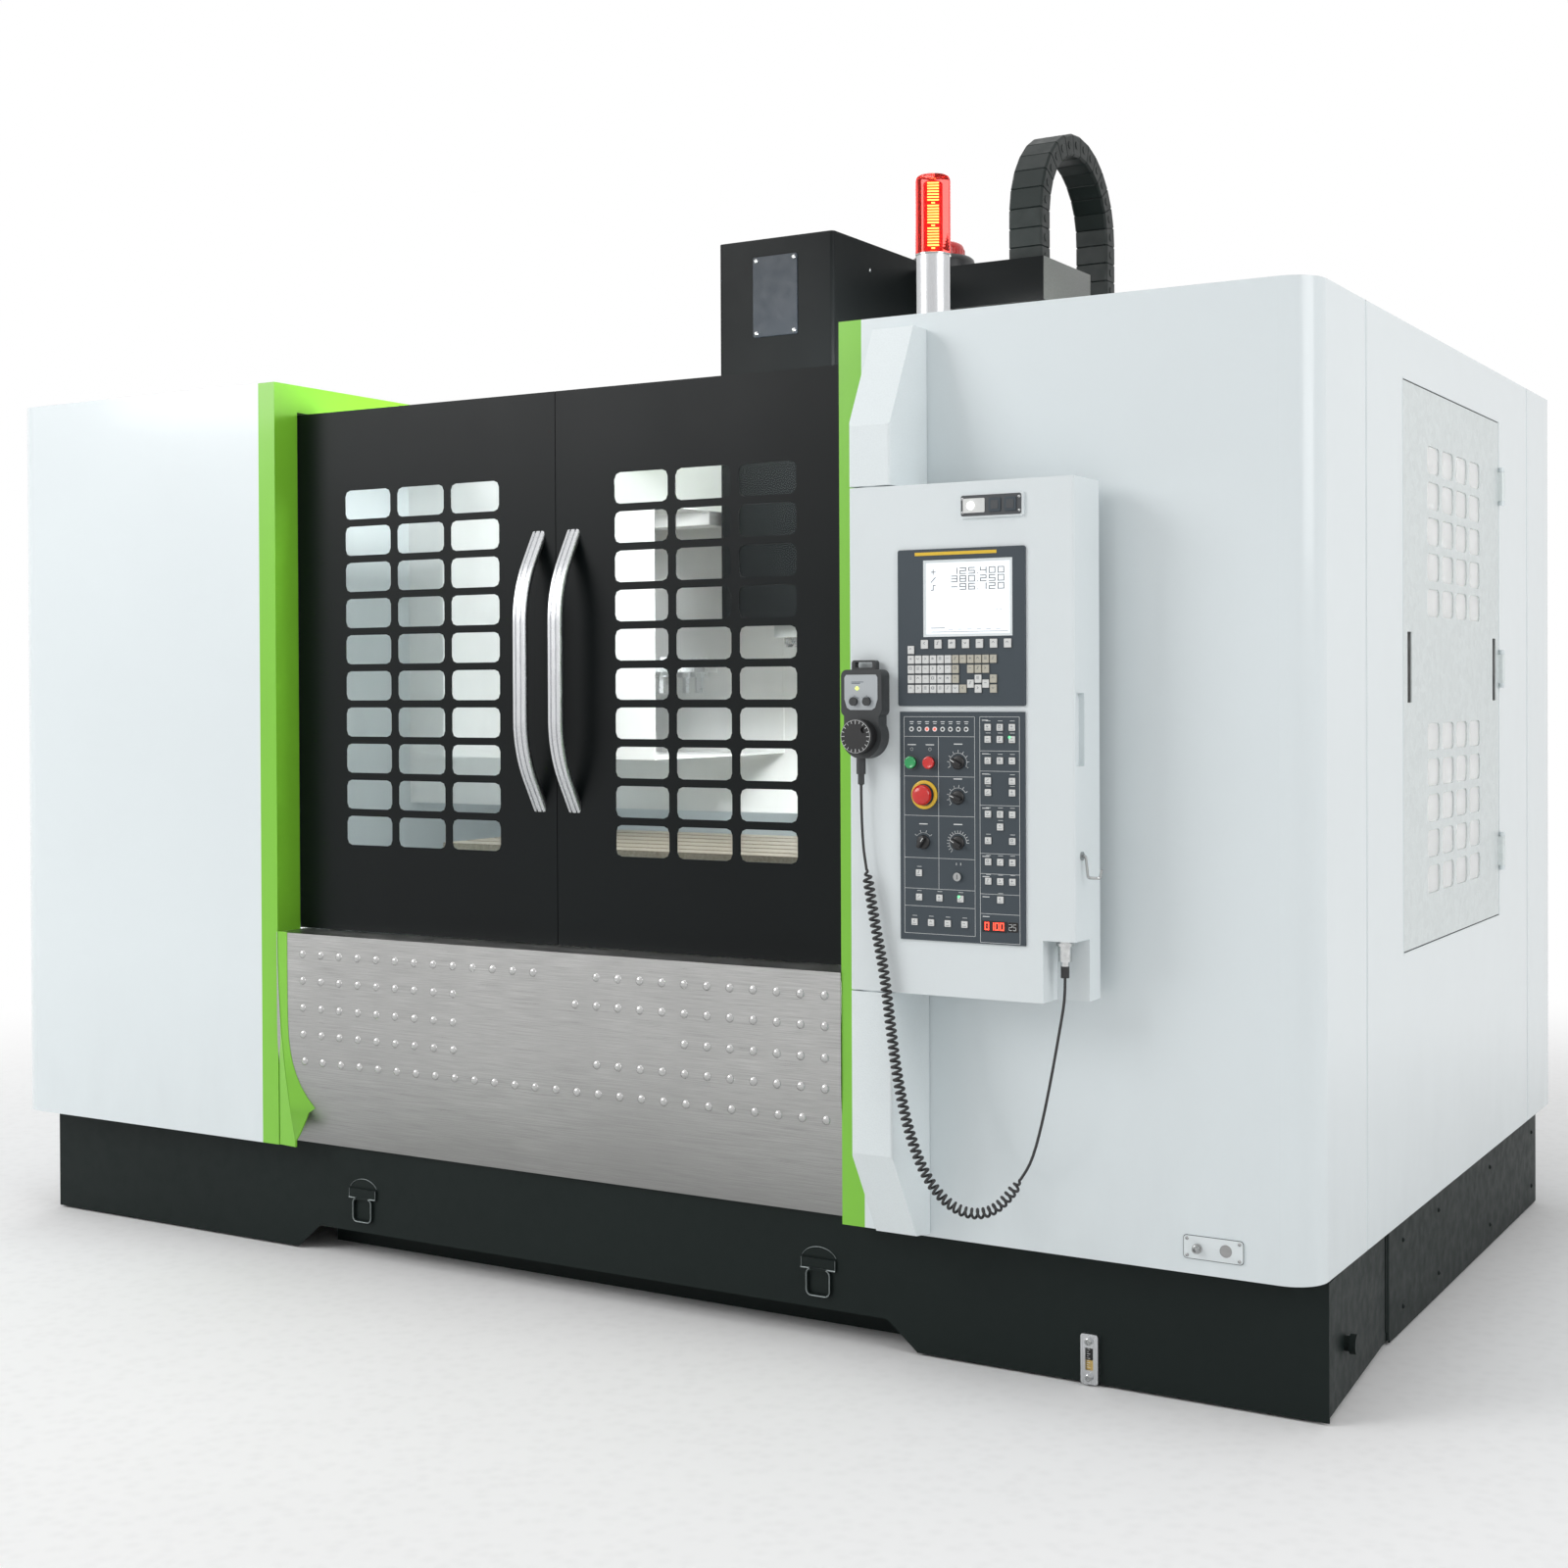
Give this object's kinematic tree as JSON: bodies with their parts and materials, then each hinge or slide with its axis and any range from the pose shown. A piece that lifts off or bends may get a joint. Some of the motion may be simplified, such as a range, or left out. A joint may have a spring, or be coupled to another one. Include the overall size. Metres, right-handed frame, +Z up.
{
  "type": "vertical machining center",
  "caption": "Enclosed vertical machining center with sliding doors, swinging control panel, moving table and head, tool carousel and hand pendant",
  "frame": {"origin": "under the middle of the machine, on the floor", "axes": "+X to the right seen from the front, +Y to the rear, +Z up"},
  "size_m": [3.846, 3.0336, 3.2332],
  "materials": {
    "white": "smooth semi-gloss",
    "green": "semi-gloss",
    "black": "semi-gloss",
    "base": "fine texture",
    "stainless": "brushed",
    "aluminium": "satin",
    "casting": "painted",
    "steel": "ground",
    "table": "ground",
    "glass": "clear",
    "plate": "matt",
    "screen": "lit",
    "keys": "matt",
    "knob": "satin",
    "red": "gloss",
    "start": "gloss",
    "lens": "clear red",
    "cord": "matt",
    "galvanised": "mottled",
    "chrome": "bright",
    "motor": "satin",
    "chain": "matt"
  },
  "bodies": {
    "machine": {"base_skirt": "base", "coolant_tank": "base", "oil_gauge": "aluminium", "housing_left": "white", "housing_right_front": "white", "housing_right_side": "white", "rear_panel": "white", "inner_wall": "white", "post_left": "green", "post_right": "green", "sill": "stainless", "door_rail": "steel", "panel_brackets": "white", "lamp_stem": "aluminium", "lamp_lens": "lens", "bed": "casting", "linear_rails": "steel", "column": "casting", "axis_motors": "motor", "magazine_cover": "white", "electrical_cabinet": "white", "levelling_feet": "steel", "cable_chain": "chain"},
    "left_door": {"door_left": "black", "glass_left": "glass", "handle_left": "aluminium"},
    "right_door": {"door_right": "black", "glass_right": "glass", "handle_right": "aluminium"},
    "side_door_body": {"side_door": "galvanised", "side_glass": "glass"},
    "control_panel": {"panel_box": "white", "display_unit": "plate", "screen": "screen", "operator_unit": "plate", "panel_keys": "keys", "side_hook": "chrome", "connector": "chrome", "pendant": "knob", "cord_top": "cord", "cord_coil": "cord", "cord_tail": "cord"},
    "stop": {"stop_button": "red"},
    "start": {"start_button": "start"},
    "halt": {"halt_button": "red"},
    "mode": {"mode_switch": "knob"},
    "spindle_override": {"spindle_switch": "knob"},
    "rapid": {"rapid_switch": "knob"},
    "feed": {"feed_switch": "knob"},
    "key": {"key_switch": "chrome"},
    "dial": {"pendant_dial": "knob"},
    "saddle_body": {"saddle": "casting"},
    "table_body": {"table": "table"},
    "head": {"spindle_head": "casting", "head_cover": "black"},
    "spindle_body": {"spindle": "steel"},
    "magazine_carriage": {"magazine_slide": "steel"},
    "carousel_body": {"carousel": "aluminium"},
    "cabinet_door_body": {"cabinet_door": "white"},
    "flap": {"skirt_flap": "base"}
  },
  "joints": [
    {"name": "left_door_slide", "type": "slide", "parent": "machine", "child": "left_door", "axis": [-1, 0, 0], "range_m": [0, 0.7]},
    {"name": "right_door_slide", "type": "slide", "parent": "machine", "child": "right_door", "axis": [1, 0, 0], "range_m": [0, 0.7]},
    {"name": "side_door_hinge", "type": "hinge", "parent": "machine", "child": "side_door_body", "pos_m": [1.924, 0.3495, 1.55], "axis": [0, 0, 1], "range_deg": [0, 100]},
    {"name": "panel_swing", "type": "hinge", "parent": "machine", "child": "control_panel", "pos_m": [1.001, -1.39, 1.4], "axis": [0, 0, 1], "range_deg": [-90, 0]},
    {"name": "stop_press", "type": "slide", "parent": "control_panel", "child": "stop", "axis": [0, 1, 0], "range_m": [0, 0.005], "stiffness_N_per_m": 200},
    {"name": "start_press", "type": "slide", "parent": "control_panel", "child": "start", "axis": [0, 1, 0], "range_m": [0, 0.004], "stiffness_N_per_m": 100},
    {"name": "halt_press", "type": "slide", "parent": "control_panel", "child": "halt", "axis": [0, 1, 0], "range_m": [0, 0.004], "stiffness_N_per_m": 100},
    {"name": "mode_turn", "type": "hinge", "parent": "control_panel", "child": "mode", "pos_m": [1.212, -1.4473, 1.349], "axis": [0, 1, 0], "range_deg": [-90, 90]},
    {"name": "spindle_override_turn", "type": "hinge", "parent": "control_panel", "child": "spindle_override", "pos_m": [1.211, -1.4473, 1.276], "axis": [0, 1, 0], "range_deg": [-60, 60]},
    {"name": "rapid_turn", "type": "hinge", "parent": "control_panel", "child": "rapid", "pos_m": [1.13, -1.4473, 1.18], "axis": [0, 1, 0], "range_deg": [-45, 45]},
    {"name": "feed_turn", "type": "hinge", "parent": "control_panel", "child": "feed", "pos_m": [1.211, -1.4473, 1.181], "axis": [0, 1, 0], "range_deg": [-135, 135]},
    {"name": "key_turn", "type": "hinge", "parent": "control_panel", "child": "key", "pos_m": [1.211, -1.4473, 1.11], "axis": [0, 1, 0], "range_deg": [0, 60]},
    {"name": "dial_spin", "type": "hinge", "parent": "control_panel", "child": "dial", "pos_m": [0.999, -1.484, 1.403], "axis": [0, 1, 0], "continuous": true},
    {"name": "saddle_travel", "type": "slide", "parent": "machine", "child": "saddle_body", "axis": [0, 1, 0], "range_m": [-0.02, 0.68]},
    {"name": "table_travel", "type": "slide", "parent": "saddle_body", "child": "table_body", "axis": [1, 0, 0], "range_m": [-0.6, 0.7]},
    {"name": "head_travel", "type": "slide", "parent": "machine", "child": "head", "axis": [0, 0, 1], "range_m": [-0.5, 0.1], "deforming": ["cable_chain"]},
    {"name": "spindle_spin", "type": "hinge", "parent": "head", "child": "spindle_body", "pos_m": [-0.035, 0.066, 1.7], "axis": [0, 0, 1], "continuous": true},
    {"name": "magazine_travel", "type": "slide", "parent": "machine", "child": "magazine_carriage", "axis": [1, 0, 0], "range_m": [0, 0.43]},
    {"name": "carousel_turn", "type": "hinge", "parent": "magazine_carriage", "child": "carousel_body", "pos_m": [-0.745, 0.066, 1.6], "axis": [0, 0, 1], "continuous": true},
    {"name": "cabinet_door_hinge", "type": "hinge", "parent": "machine", "child": "cabinet_door_body", "pos_m": [1.769, 1.4795, 1.2], "axis": [0, 0, 1], "range_deg": [-110, 0]},
    {"name": "flap_hinge", "type": "hinge", "parent": "machine", "child": "flap", "pos_m": [1.87, -0.589, 0.15], "axis": [0, 0, 1], "range_deg": [0, 80]}
  ]
}
